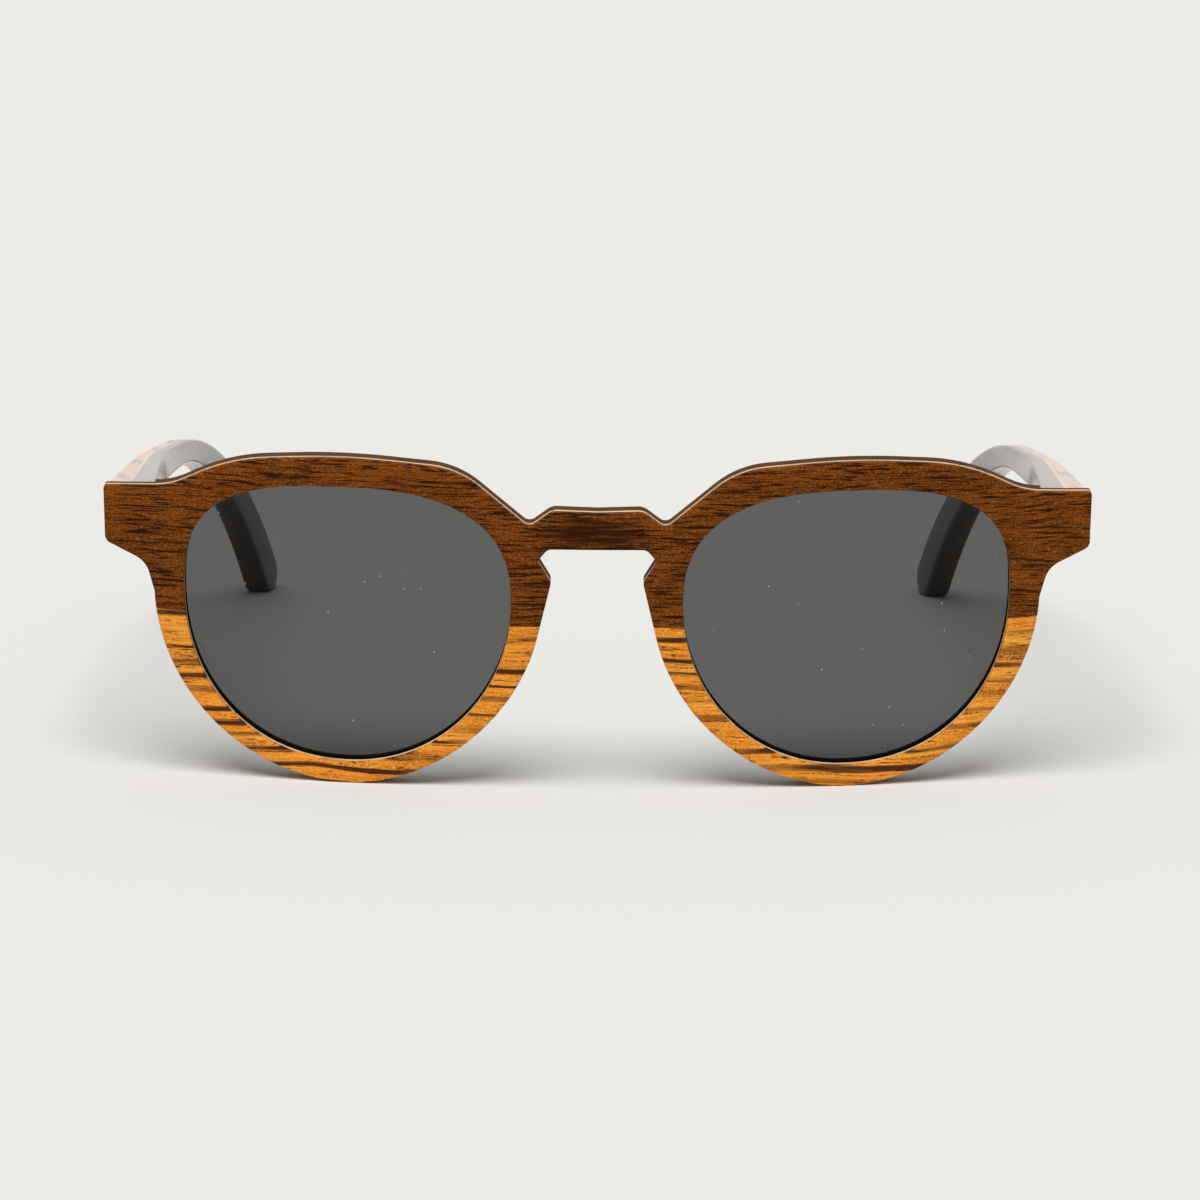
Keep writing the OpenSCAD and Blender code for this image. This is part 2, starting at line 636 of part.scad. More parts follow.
walnut_brow_veneer();
zebrawood_rim_veneer(left);  // zebrawood_rim_veneer_left
zebrawood_rim_veneer(right);  // zebrawood_rim_veneer_right
pale_ply();
core_ply();
back_ply();
lens(left);  // lens_left
lens(right);  // lens_right
nose_pad(left);  // nose_pad_left
nose_pad(right);  // nose_pad_right
hinge_leaf(left);  // hinge_leaf_left
hinge_leaf(right);  // hinge_leaf_right
leaf_screws(left);  // leaf_screws_left
leaf_screws(right);  // leaf_screws_right
pivot_screw(left);  // pivot_screw_left
pivot_screw(right);  // pivot_screw_right
hinge_slider(left);  // hinge_slider_left
hinge_slider(right);  // hinge_slider_right
slider_nut(left);  // slider_nut_left
slider_nut(right);  // slider_nut_right
hinge_spring(left);  // hinge_spring_left
hinge_spring(right);  // hinge_spring_right
hinge_housing(left);  // hinge_housing_left
hinge_housing(right);  // hinge_housing_right
housing_screw(left);  // housing_screw_left
housing_screw(right);  // housing_screw_right
temple_outer_ply(left);  // temple_outer_ply_left
temple_outer_ply(right);  // temple_outer_ply_right
temple_pale_ply(left);  // temple_pale_ply_left
temple_pale_ply(right);  // temple_pale_ply_right
temple_inner_ply(left);  // temple_inner_ply_left
temple_inner_ply(right);  // temple_inner_ply_right
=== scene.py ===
"""Wooden sunglasses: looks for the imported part, laid out as an add-on and run as a script."""

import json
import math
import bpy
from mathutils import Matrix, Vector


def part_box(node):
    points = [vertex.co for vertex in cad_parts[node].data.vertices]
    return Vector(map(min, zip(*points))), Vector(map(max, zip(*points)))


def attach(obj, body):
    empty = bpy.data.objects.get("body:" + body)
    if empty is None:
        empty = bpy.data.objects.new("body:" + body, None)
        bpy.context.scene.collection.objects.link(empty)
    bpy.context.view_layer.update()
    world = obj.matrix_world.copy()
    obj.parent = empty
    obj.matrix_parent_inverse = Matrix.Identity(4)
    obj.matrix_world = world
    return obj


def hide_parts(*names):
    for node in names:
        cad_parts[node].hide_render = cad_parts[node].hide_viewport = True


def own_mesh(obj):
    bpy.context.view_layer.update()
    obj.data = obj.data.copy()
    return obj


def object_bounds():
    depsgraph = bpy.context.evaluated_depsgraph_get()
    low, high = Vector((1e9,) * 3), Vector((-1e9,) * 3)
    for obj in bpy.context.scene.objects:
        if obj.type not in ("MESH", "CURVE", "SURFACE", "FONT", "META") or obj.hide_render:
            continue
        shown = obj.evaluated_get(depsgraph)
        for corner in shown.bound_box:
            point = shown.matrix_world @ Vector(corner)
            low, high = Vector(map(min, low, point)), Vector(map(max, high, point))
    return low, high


bl_info = {
    "name": "Wooden sunglasses",
    "version": (1, 0, 0),
    "blender": (4, 5, 0),
    "location": "View3D > Sidebar > Sunglasses",
    "description": "Models the laminated front, lenses, nose pads, temples and stage of wooden sunglasses",
    "category": "Object",
}

import bmesh
import bpy
from mathutils import Matrix, Vector

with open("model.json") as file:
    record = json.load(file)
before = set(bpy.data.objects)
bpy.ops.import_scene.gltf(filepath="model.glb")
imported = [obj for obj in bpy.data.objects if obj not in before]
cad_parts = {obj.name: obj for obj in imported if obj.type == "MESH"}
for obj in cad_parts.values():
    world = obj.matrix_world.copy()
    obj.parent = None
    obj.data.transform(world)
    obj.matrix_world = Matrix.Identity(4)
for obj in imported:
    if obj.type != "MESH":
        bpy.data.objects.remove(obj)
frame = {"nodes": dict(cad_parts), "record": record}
cad_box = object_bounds()
SIDES = (("left", 1.0), ("right", -1.0))
MM = 0.001


def length_prop(label, note, mm):
    """Length setting, given in mm"""
    return bpy.props.FloatProperty(name=label, description=note, default=mm * MM, unit="LENGTH")


def angle_prop(label, note, degrees):
    """Angle setting, given in degrees"""
    return bpy.props.FloatProperty(
        name=label, description=note, default=math.radians(degrees), subtype="ANGLE")


def colour_prop(label, note, rgb):
    """Colour setting, given as linear red, green and blue"""
    return bpy.props.FloatVectorProperty(name=label, description=note, default=rgb, subtype="COLOR")


class FrontSizes(bpy.types.PropertyGroup):
    """Sizes of the curved front"""

    lens_w: length_prop("Lens width", "Width of each lens opening", 47)
    lens_h: length_prop("Lens height", "Height of each lens opening", 40.5)
    lens_waist: length_prop("Lens waist", "Height of the widest level of an opening", 24.4)
    bridge_w: length_prop("Bridge width", "Distance between the lens openings", 24.5)
    rim_side: length_prop("Rim side", "Width of the rim beside a lens", 4.4)
    rim_top: length_prop("Rim top", "Width of the rim above a lens", 4.1)
    rim_bottom: length_prop("Rim bottom", "Width of the rim below a lens", 3)
    end_len: length_prop("End piece", "Reach of an end piece beyond the rim", 7.35)
    end_h: length_prop("End height", "Height of an end piece", 8.1)
    radius: length_prop("Curve", "Radius of the front's curve", 215)
    lean: angle_prop("Lean", "Forward lean of the front", 3)
    veneer_t: length_prop("Veneer", "Thickness of the show veneer", 1)
    pale_t: length_prop("Pale ply", "Thickness of the pale ply", 0.7)
    core_t: length_prop("Core ply", "Thickness of the core ply", 1.7)
    back_t: length_prop("Back ply", "Thickness of the back ply", 1)
    end_t: length_prop("End thickness", "Thickness left at the end pieces", 2.6)
    joint_h: length_prop("Veneer joint", "Height of the joint between the veneers", 24)
    edge: length_prop("Edge", "Rounding of the sanded edges", 0.22)


class TempleSizes(bpy.types.PropertyGroup):
    """Sizes of the temples"""

    thick: length_prop("Thickness", "Thickness at the hinge", 6.8)
    slim: length_prop("Slim thickness", "Thickness from the middle to the tip", 4)
    taper: length_prop("Taper", "Length of the taper in thickness", 58)
    pale_t: length_prop("Pale ply", "Thickness of the pale ply", 0.5)
    slim_h: length_prop("Slim height", "Height at the start of the ear bend", 3.4)
    tip_h: length_prop("Tip height", "Height at the rounded tip", 6.2)
    length: length_prop("Length", "Length from the front to the ear bend", 81)
    slope: angle_prop("Slope", "Slope down towards the ear", 3.7)
    bend_r: length_prop("Ear bend", "Radius of the ear bend", 74)
    straight: length_prop("Straight", "Length of the straight part in plan", 44)
    inward_r: length_prop("Inward curve", "Radius of the inward curve in plan", 350)
    edge: length_prop("Edge", "Rounding of the long edges", 0.7)


class Finishes(bpy.types.PropertyGroup):
    """Colours of the woods, the lenses, the metal and the stage"""

    walnut: colour_prop("Walnut", "Middle tone of the dark veneer", (0.142, 0.0330, 0.0006))
    walnut_fleck: colour_prop("Walnut fleck", "Tan flecks of the dark veneer", (0.36, 0.120, 0.020))
    zebrawood: colour_prop("Zebrawood", "Golden tone of the striped veneer", (0.95, 0.285, 0.010))
    gold: colour_prop("Gold", "Light bands of the striped veneer", (1.0, 0.40, 0.045))
    gold_fleck: colour_prop("Gold fleck", "Light flecks of the striped veneer", (1.0, 0.48, 0.09))
    stripe: colour_prop("Stripe", "Dark stripes of the striped veneer", (0.075, 0.020, 0.004))
    # painted shade, multiplied into the temples' wood low on the ear ends
    ear: colour_prop("Ear ends", "Shade that darkens the ear ends of the temples", (0.08, 0.07, 0.06))
    maple: colour_prop("Maple", "Tone of the pale plies", (0.72, 0.54, 0.33))
    core: colour_prop("Core", "Tone of the core and back plies", (0.105, 0.046, 0.017))
    lens: colour_prop("Lens", "Tint of the lenses", (0.006, 0.006, 0.006))
    lens_density: bpy.props.FloatProperty(
        name="Lens density", description="Share of light that each lens surface stops",
        default=0.63, min=0, max=1)
    dust: colour_prop("Dust", "Specks on the lenses", (0.55, 0.55, 0.55))
    metal: colour_prop("Metal", "Tone of the hinge metal", (0.62, 0.60, 0.55))
    ground: colour_prop("Ground", "Colour of the floor and the surround", (0.80, 0.80, 0.785))


# Front outline, in mm on its board

def unit(v):
    return v / v.length


def corner(a, b, c, r, steps=8):
    """Arc that rounds the corner b between a and c"""
    u, w = unit(a - b), unit(c - b)
    half = math.acos(max(-1.0, min(1.0, u.dot(w)))) / 2
    o = b + unit(u + w) * (r / math.sin(half))
    s, e = b + u * (r / math.tan(half)) - o, b + w * (r / math.tan(half)) - o
    start = math.atan2(s.y, s.x)
    turn = (math.atan2(e.y, e.x) - start + 3 * math.pi) % (2 * math.pi) - math.pi
    return [o + r * Vector((math.cos(start + turn * k / steps), math.sin(start + turn * k / steps)))
            for k in range(steps + 1)]


def rounded(path):
    points = [Vector(p[:2]) for p in path]
    out = []
    for i, p in enumerate(path):
        out += corner(points[i - 1], points[i], points[i + 1], p[2]) if p[2] > 0 else [points[i]]
    return out


def squared(v, n):
    return math.copysign(abs(v) ** (2 / n), v)


class Front:
    """Levels, outlines and the curved placing of the front, in mm"""

    # Falls from the brow to the end pieces and the bridge, and the bridge's height
    end_fall, bridge_fall, bridge_h = 6.1, 7.0, 5.3
    # Bridge and the notches beside it
    crown_w, crown_rise, crown_r = 13, 0.2, 2.4
    notch_x, notch_drop, notch_r = 2.55, 2.2, 1.3
    # Brow towards the nose, in its middle and towards the temple
    brow_in, brow_in_drop, brow_in_r = 15.9, 0.9, 13
    brow_mid, brow_mid_rise, brow_mid_r = 0.6, 0.3, 90
    brow_out, brow_out_drop, brow_out_r = 16.6, 0.95, 28
    # End pieces: upper blend, outer corners and the root at the rim
    end_blend, end_blend_rise, end_blend_r = 9.8, 0.7, 12
    end_r, end_under_in, end_under_r = 0.5, 0.15, 1.2
    end_root, end_root_drop, end_root_r = 1.2, 2.6, 3.5
    # Rim: where it starts and how far it sweeps in degrees, and the power of its outer and inner quarter
    rim_start, rim_sweep, rim_steps = -2, 166.6, 70
    rim_power_out, rim_power_in = 1.96, 1.88
    # Keyhole under the bridge: its lips, its widest part and its top
    lip_w, lip_drop, lip_r = 13.1, 4.9, 0.9
    keyhole_w, keyhole_drop, keyhole_top_w, keyhole_r = 17, 1.7, 14, 1.2
    # Powers of a lens opening's upper and lower quarters, each outer and inner
    upper_powers, lower_powers = (2.9, 2.5), (2.15, 2.05)

    def __init__(self, p):
        self.lens_w, self.lens_h, self.waist = p.lens_w / MM, p.lens_h / MM, p.lens_waist / MM
        self.bridge_w = p.bridge_w / MM
        self.rim_bottom = p.rim_bottom / MM
        self.lens_x = (self.bridge_w + self.lens_w) / 2
        self.lens_mid = self.rim_bottom + self.waist
        self.rim_a = self.lens_w / 2 + p.rim_side / MM
        self.brow_h = self.rim_bottom + self.lens_h + p.rim_top / MM
        self.half_w = self.lens_x + self.rim_a + p.end_len / MM
        self.end_h = p.end_h / MM
        self.end_top = self.brow_h - self.end_fall
        self.bridge_top = self.brow_h - self.bridge_fall
        self.bridge_under = self.bridge_top - self.bridge_h
        self.r, self.lean = p.radius / MM, p.lean
        self.floor_z = -math.sin(self.lean) * self.sag(self.lens_x)
        self.veneer_t, self.pale_t = p.veneer_t / MM, p.pale_t / MM
        self.core_t, self.back_t = p.core_t / MM, p.back_t / MM
        self.front_t = self.veneer_t + self.pale_t + self.core_t + self.back_t
        self.end_t, self.joint_h, self.edge = p.end_t / MM, p.joint_h / MM, p.edge / MM
        # the top of the bridge is the foremost point, on the low side of the CAD box
        self.origin_y = cad_box[0].y / MM + math.sin(self.lean) * self.bridge_top

    def sag(self, x, depth=0.0):
        return self.r - math.sqrt((self.r - depth) ** 2 - x * x)

    def place(self, x, depth, up):
        """Row-frame point, in metres, of a board point"""
        b, s, c = self.sag(x, depth), math.sin(self.lean), math.cos(self.lean)
        return Vector((x, b * c - up * s + self.origin_y, b * s + up * c + self.floor_z)) * MM

    def behind(self, x, z, depth):
        """Y, in mm, of the leaning curve at a depth, at a height above the ground"""
        b, s, c = self.sag(x, depth), math.sin(self.lean), math.cos(self.lean)
        return b * c - (z - self.floor_z - b * s) / c * s + self.origin_y

    def outline(self):
        x, top, bridge, under = self.lens_x, self.brow_h, self.bridge_top, self.bridge_under
        end_under = self.end_top - self.end_h
        brow = [
            (0, bridge, 0),
            (self.crown_w / 2, bridge + self.crown_rise, self.crown_r),
            (self.bridge_w / 2 - self.notch_x, bridge - self.notch_drop, self.notch_r),
            (x - self.brow_in, top - self.brow_in_drop, self.brow_in_r),
            (x + self.brow_mid, top + self.brow_mid_rise, self.brow_mid_r),
            (x + self.brow_out, top - self.brow_out_drop, self.brow_out_r),
            (self.half_w - self.end_blend, self.end_top + self.end_blend_rise, self.end_blend_r),
            (self.half_w, self.end_top, self.end_r),
            (self.half_w - self.end_under_in, end_under, self.end_under_r),
            (x + self.rim_a + self.end_root, end_under - self.end_root_drop, self.end_root_r)]
        rim = []
        for k in range(self.rim_steps + 1):
            a = math.radians(self.rim_start - self.rim_sweep * k / self.rim_steps)
            n = self.rim_power_out if a > -math.pi / 2 else self.rim_power_in
            across, up = squared(math.cos(a), n), squared(math.sin(a), n)
            rim.append((x + self.rim_a * across, self.lens_mid * (1 + up), 0))
        keyhole = [
            (self.lip_w / 2, under - self.lip_drop, self.lip_r),
            (self.keyhole_w / 2, under - self.keyhole_drop, self.keyhole_r),
            (self.keyhole_top_w / 2, under, self.keyhole_r),
            (0, under, 0)]
        half = rounded(brow + rim + keyhole)
        return half + [Vector((-p.x, p.y)) for p in half[-2:0:-1]]

    def lens_outline(self, side, grow=0.0, steps=144):
        out = []
        for k in range(steps):
            a = 2 * math.pi * k / steps
            c, s = math.cos(a), math.sin(a)
            outer, inner = self.upper_powers if s >= 0 else self.lower_powers
            n = outer if c >= 0 else inner
            rise = self.lens_h - self.waist if s >= 0 else self.waist
            x = self.lens_x + (self.lens_w / 2 + grow) * squared(c, n)
            out.append(Vector((side * x, self.lens_mid + (rise + grow) * squared(s, n))))
        return out


# Modelling steps

def clear_selection():
    if bpy.context.object and bpy.context.object.mode != "OBJECT":
        bpy.ops.object.mode_set(mode="OBJECT")
    bpy.ops.object.select_all(action="DESELECT")


def filled_outline(name, loops):
    """Flat face with one outer loop and any holes, from circles whose points are set along the outlines"""
    rings = []
    for loop in loops:
        clear_selection()
        bpy.ops.mesh.primitive_circle_add(vertices=len(loop), radius=1, fill_type="NOTHING")
        ring = bpy.context.object
        for v, p in zip(ring.data.vertices, loop):
            v.co = p.to_3d()
        rings.append(ring)
    clear_selection()
    for ring in rings:
        ring.select_set(True)
    piece = rings[0]
    bpy.context.view_layer.objects.active = piece
    if len(rings) > 1:
        bpy.ops.object.join()
    piece.name = piece.data.name = name
    piece.matrix_world = Matrix.Identity(4)
    bpy.ops.object.mode_set(mode="EDIT")
    bpy.ops.mesh.select_all(action="SELECT")
    bpy.ops.mesh.fill(use_beauty=True)
    return piece


def cut(co, no, **clear):
    bpy.ops.mesh.select_all(action="SELECT")
    bpy.ops.mesh.bisect(plane_co=co, plane_no=no, threshold=1e-5, **clear)


def thicken(offset):
    """Extrudes the whole face and turns the normals outwards"""
    bpy.ops.mesh.select_all(action="SELECT")
    bpy.ops.mesh.extrude_region_move(TRANSFORM_OT_translate={"value": offset})
    bpy.ops.mesh.select_all(action="SELECT")
    bpy.ops.mesh.normals_make_consistent(inside=False)


def round_edges(piece, test, width):
    """Bevels the edges that the test picks"""
    bpy.ops.mesh.select_mode(type="EDGE")
    bpy.ops.mesh.select_all(action="DESELECT")
    bm = bmesh.from_edit_mesh(piece.data)
    for e in bm.edges:
        if e.is_manifold and test(e):
            e.select_set(True)
    bmesh.update_edit_mesh(piece.data)
    bpy.ops.mesh.bevel(offset=width, segments=2, affect="EDGES", clamp_overlap=False, loop_slide=False)


def move_points(piece, where):
    """Puts every point at where(point)"""
    bpy.ops.object.mode_set(mode="OBJECT")
    for v in piece.data.vertices:
        v.co = where(v.co)
    bpy.ops.object.mode_set(mode="EDIT")
    bpy.ops.mesh.select_all(action="SELECT")
    bpy.ops.mesh.normals_make_consistent(inside=False)
    bpy.ops.object.mode_set(mode="OBJECT")


def finish_piece(piece, material, body, slot, *nodes, angle=35):
    clear_selection()
    piece.select_set(True)
    bpy.context.view_layer.objects.active = piece
    bpy.ops.object.shade_smooth_by_angle(angle=math.radians(angle))
    piece.data.materials.clear()
    piece.data.materials.append(material)
    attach(piece, body)
    if nodes:
        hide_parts(*nodes)


def copy_of(node, name):
    """Merged copy of a node's solid, selected and active"""
    piece = bpy.data.objects.new(name, frame["nodes"][node].data.copy())
    bpy.context.scene.collection.objects.link(piece)
    clear_selection()
    piece.select_set(True)
    bpy.context.view_layer.objects.active = piece
    bpy.ops.object.mode_set(mode="EDIT")
    bpy.ops.mesh.select_all(action="SELECT")
    bpy.ops.mesh.remove_doubles(threshold=1e-6)
    bpy.ops.object.mode_set(mode="OBJECT")
    return piece


def lies_on(edge, co, no):
    """Whether an edge lies in a plane"""
    return all(abs((v.co - co).dot(no)) < 1e-3 for v in edge.verts)


def curved_ply(front, name, loops, depth, t, keep=(), rounds=(), step=2.0):
    """Ply of the front: filled, trimmed, cut into strips, thickened, edge-rounded and curved.
    keep holds planes as (point, normal), and rounds says which faces are sanded: front, back."""
    piece = filled_outline(name, loops)
    for co, no in keep:
        cut(co, no, clear_inner=True)
    reach = int(front.half_w / step) + 1
    for k in range(-reach, reach + 1):
        cut((k * step, 0, 0), (1, 0, 0))
    thicken((0, 0, t))
    for face, level in (("front", 0.0), ("back", t)):
        if face in rounds:
            def sanded(e, level=level):
                on_level = all(abs(v.co.z - level) < 1e-4 for v in e.verts)
                wall = any(abs(f.normal.z) < 0.5 for f in e.link_faces)
                glued = any(lies_on(e, Vector(co), Vector(no)) for co, no in keep)
                return on_level and wall and not glued
            round_edges(piece, sanded, front.edge)
    move_points(piece, lambda p: front.place(p.x, depth + p.z, p.y))
    return piece


# Materials; an axis of 0 is the grain along X on the front, and 1 along Y on the lacquered temples

PORE_DEPTH = 0.04 * MM
TEMPLE_COAT = 0.9


class Graph:
    """Short way to write a material's nodes"""

    def __init__(self, name):
        self.material = bpy.data.materials.new(name)
        self.material.use_nodes = True
        self.tree = self.material.node_tree
        self.shader = self.tree.nodes["Principled BSDF"]
        self.coords = self.node("ShaderNodeTexCoord").outputs["Object"]

    def node(self, kind, inputs=None, **settings):
        n = self.tree.nodes.new(kind)
        for key, value in settings.items():
            setattr(n, key, value)
        for key, value in (inputs or {}).items():
            if isinstance(value, bpy.types.NodeSocket):
                self.tree.links.new(value, n.inputs[key])
            else:
                n.inputs[key].default_value = value
        return n

    def stretch(self, scale, turn=(0, 0, 0)):
        return self.node("ShaderNodeMapping", {
            "Vector": self.coords, "Scale": scale, "Rotation": turn}).outputs[0]

    def sway(self, scale, amount):
        """Lets the grain wander up and down a little"""
        wander = self.noise(self.stretch(scale), 2, 0.5)
        self.coords = self.node("ShaderNodeVectorMath", {
            0: wander, 1: (0, 0, amount), 2: self.coords}, operation="MULTIPLY_ADD").outputs[0]

    def noise(self, vector, detail, rough, distortion=0.0):
        return self.node("ShaderNodeTexNoise", {
            "Vector": vector, "Scale": 1.0, "Detail": detail, "Roughness": rough,
            "Distortion": distortion}).outputs["Fac"]

    def ramp(self, fac, *stops):
        n = self.node("ShaderNodeValToRGB", {"Fac": fac})
        ends = n.color_ramp.elements
        while len(ends) < len(stops):
            ends.new(0.5)
        for e, (at, tone) in zip(ends, stops):
            e.position = at
            e.color = (*tone, 1)
        return n.outputs["Color"]

    def mask(self, fac, low, high):
        """0 to 1 as the value goes from low to high"""
        return self.node("ShaderNodeMapRange", {
            "Value": fac, "From Min": low, "From Max": high}).outputs["Result"]

    def between(self, fac, low, high):
        """Low to high as the value goes from 0 to 1"""
        return self.node("ShaderNodeMapRange", {
            "Value": fac, "To Min": low, "To Max": high}).outputs["Result"]

    def mix(self, fac, a, b, blend="MIX"):
        n = self.node("ShaderNodeMix", data_type="RGBA", blend_type=blend)
        for key, value in ((0, fac), (6, a), (7, b)):
            if isinstance(value, bpy.types.NodeSocket):
                self.tree.links.new(value, n.inputs[key])
            else:
                n.inputs[key].default_value = value if key == 0 else (*value, 1)
        return n.outputs[2]

    def ends(self, tone):
        """Painted shade: darkens the tone towards the ear ends, low on the part"""
        shade_from, shade_to = 37 * MM, 25 * MM
        height = self.node("ShaderNodeSeparateXYZ", {0: self.coords}).outputs["Z"]
        ear = bpy.context.scene.sunglasses_finishes.ear
        return self.mix(self.mask(height, shade_from, shade_to), tone, ear, "MULTIPLY")

    def math(self, op, a, b):
        n = self.node("ShaderNodeMath", {0: a, 1: b}, operation=op)
        return n.outputs[0]

    def finish(self, tone, rough, bump=None, depth=0.0, gloss=0.5, lacquer=0.0):
        s = self.shader.inputs
        for key, value in (("Base Color", tone), ("Roughness", rough)):
            if isinstance(value, bpy.types.NodeSocket):
                self.tree.links.new(value, s[key])
            else:
                s[key].default_value = value
        s["Specular IOR Level"].default_value = gloss
        s["Coat Weight"].default_value = lacquer
        s["Coat Roughness"].default_value = 0.14
        if bump is not None:
            n = self.node("ShaderNodeBump", {"Height": bump, "Distance": depth, "Strength": 0.6})
            self.tree.links.new(n.outputs["Normal"], s["Normal"])
        return self.material


def shade(tone, k):
    return tuple(c * k for c in tone)


def along(axis, long_scale, cross_scale):
    """Mapping scale with the grain along an axis; through a sheet of the front it hardly changes"""
    through = 0.08 if axis == 0 else 0.7
    scale = [cross_scale * through, cross_scale * through, cross_scale]
    scale[axis] = long_scale
    return scale


def bridge_figure(g):
    """1 in the middle of the bridge, falling to 0 around it"""
    ball = g.node("ShaderNodeMapping", {
        "Vector": g.coords, "Location": (0.08, 10.25, -6.2), "Scale": (110, 135, 165)}).outputs[0]
    fall = g.node("ShaderNodeTexGradient", {"Vector": ball}, gradient_type="SPHERICAL").outputs["Fac"]
    return g.mask(fall, 0.0, 0.6)


def walnut(name, base, light, axis=0, gloss=0.06, rough=0.36):
    """Dark wood with short darker dashes on a sandy ground, and a dark figure on the bridge"""
    g = Graph(name)
    g.sway(along(axis, 45, 60), 2.5 * MM)
    bands = g.noise(g.stretch(along(axis, 8, 330)), 4, 0.6, 0.4)
    grain = g.noise(g.stretch(along(axis, 40, 2600)), 4, 0.65, 0.3)
    pores = g.noise(g.stretch(along(axis, 330, 5200)), 3, 0.6, 0.2)
    streak = g.noise(g.stretch(along(axis, 130, 2700)), 4, 0.6, 0.3)
    fleck = g.noise(g.stretch((3200, 3200, 4800)), 2, 0.6)
    figure = g.math("MULTIPLY", g.mask(streak, 0.36, 0.52), bridge_figure(g))
    tone = g.ramp(bands, (0.3, shade(base, 0.72)), (0.5, shade(base, 1.12)), (0.68, shade(base, 1.5)))
    tone = g.mix(g.mask(grain, 0.48, 0.74), tone, shade(base, 0.45))
    tone = g.mix(g.mask(fleck, 0.45, 0.75), tone, light)
    tone = g.mix(g.mask(streak, 0.54, 0.61), tone, shade(base, 0.18))
    tone = g.mix(g.mask(pores, 0.56, 0.61), tone, shade(base, 0.12))
    tone = g.mix(figure, tone, shade(base, 0.24))
    # on the temples, painted shade darkens the low ear ends
    tone = g.ends(tone) if axis else tone
    relief = g.math("SUBTRACT", 1.0, g.mask(pores, 0.58, 0.72))
    level = g.between(grain, rough, rough + 0.2)
    return g.finish(tone, level, relief, PORE_DEPTH, gloss, TEMPLE_COAT * axis)


def zebrawood(name, f, axis=0, gloss=0.12, rough=0.26):
    """Golden wood with dark wandering stripes, fine dashes and light flecks"""
    g = Graph(name)
    g.sway(along(axis, 34, 60), (1.2 if axis else 4) * MM)
    tilt = (0, 0.6 if axis else 0, 0)
    lines = g.node("ShaderNodeTexWave", {
        "Vector": g.stretch(along(axis, 30, 1000), tilt), "Scale": 0.14, "Distortion": 6.0, "Detail": 3.0,
        "Detail Scale": 1.2, "Detail Roughness": 0.65}, bands_direction="Z").outputs["Fac"]
    fade = g.noise(g.stretch(along(axis, 35, 330)), 2, 0.5)
    fine = g.noise(g.stretch(along(axis, 75, 2600)), 3, 0.6, 0.4)
    warm = g.noise(g.stretch(along(axis, 20, 500)), 3, 0.6)
    grain = g.noise(g.stretch(along(axis, 90, 4200)), 3, 0.6)
    pores = g.noise(g.stretch(along(axis, 330, 3900)), 3, 0.6)
    fleck = g.noise(g.stretch((2600, 2600, 4200)), 2, 0.6)
    ragged = g.math("ADD", lines, g.math("MULTIPLY", grain, 0.5))
    stripes = g.math("MULTIPLY", g.mask(ragged, 0.90, 1.14), g.mask(fade, 0.38, 0.54))
    tone = g.ramp(warm, (0.3, shade(f.zebrawood, 0.55)), (0.48, f.zebrawood), (0.66, f.gold))
    tone = g.mix(g.mask(grain, 0.42, 0.8), tone, shade(f.zebrawood, 0.62))
    tone = g.mix(g.mask(fine, 0.56, 0.68), tone, shade(f.stripe, 2.4))
    tone = g.mix(g.mask(fleck, 0.45, 0.75), tone, f.gold_fleck)
    tone = g.mix(stripes, tone, f.stripe)
    tone = g.mix(g.mask(pores, 0.59, 0.67), tone, shade(f.stripe, 0.6))
    # on the temples, painted shade darkens the low ear ends
    tone = g.ends(tone) if axis else tone
    relief = g.math("SUBTRACT", 1.0, g.mask(pores, 0.60, 0.74))
    level = g.between(grain, rough, rough + 0.18)
    return g.finish(tone, level, relief, PORE_DEPTH, gloss, TEMPLE_COAT * axis)


def plain_wood(name, base, axis=0):
    """Even wood with a fine grain, dull on its raw edges"""
    g = Graph(name)
    grain = g.noise(g.stretch(along(axis, 60, 2200)), 4, 0.6)
    pores = g.noise(g.stretch(along(axis, 260, 4200)), 2, 0.5)
    tone = g.ramp(grain, (0.3, shade(base, 0.7)), (0.7, shade(base, 1.25)))
    tone = g.mix(g.mask(pores, 0.64, 0.72), tone, shade(base, 0.4))
    # on the temples, painted shade darkens the low ear ends
    tone = g.ends(tone) if axis else tone
    return g.finish(tone, g.between(grain, 0.6, 0.8), pores, PORE_DEPTH / 2, 0.03, TEMPLE_COAT * axis)


def smoke(name, f):
    """Grey see-through lens with a faint smear and a few specks of dust"""
    g = Graph(name)
    specks = g.node("ShaderNodeTexVoronoi", {
        "Vector": g.stretch((520, 260, 430)), "Scale": 1.0, "Randomness": 1.0})
    draw = g.node("ShaderNodeSeparateColor", {0: specks.outputs["Color"]}).outputs[0]
    dust = g.math("MULTIPLY", g.mask(specks.outputs["Distance"], 0.07, 0.03), g.mask(draw, 0.66, 0.70))
    smear = g.noise(g.stretch((60, 60, 60)), 3, 0.6)
    g.shader.inputs["Alpha"].default_value = f.lens_density
    return g.finish(g.mix(dust, f.lens, f.dust), g.between(smear, 0.02, 0.1), gloss=0.02)


def metal(name, base, rough):
    """Brushed metal"""
    g = Graph(name)
    brush = g.noise(g.stretch((9000, 900, 9000)), 3, 0.6)
    tone = g.ramp(brush, (0.3, shade(base, 0.8)), (0.7, shade(base, 1.1)))
    g.shader.inputs["Metallic"].default_value = 1
    return g.finish(tone, g.between(brush, rough - 0.06, rough + 0.1), brush, 0.01 * MM)


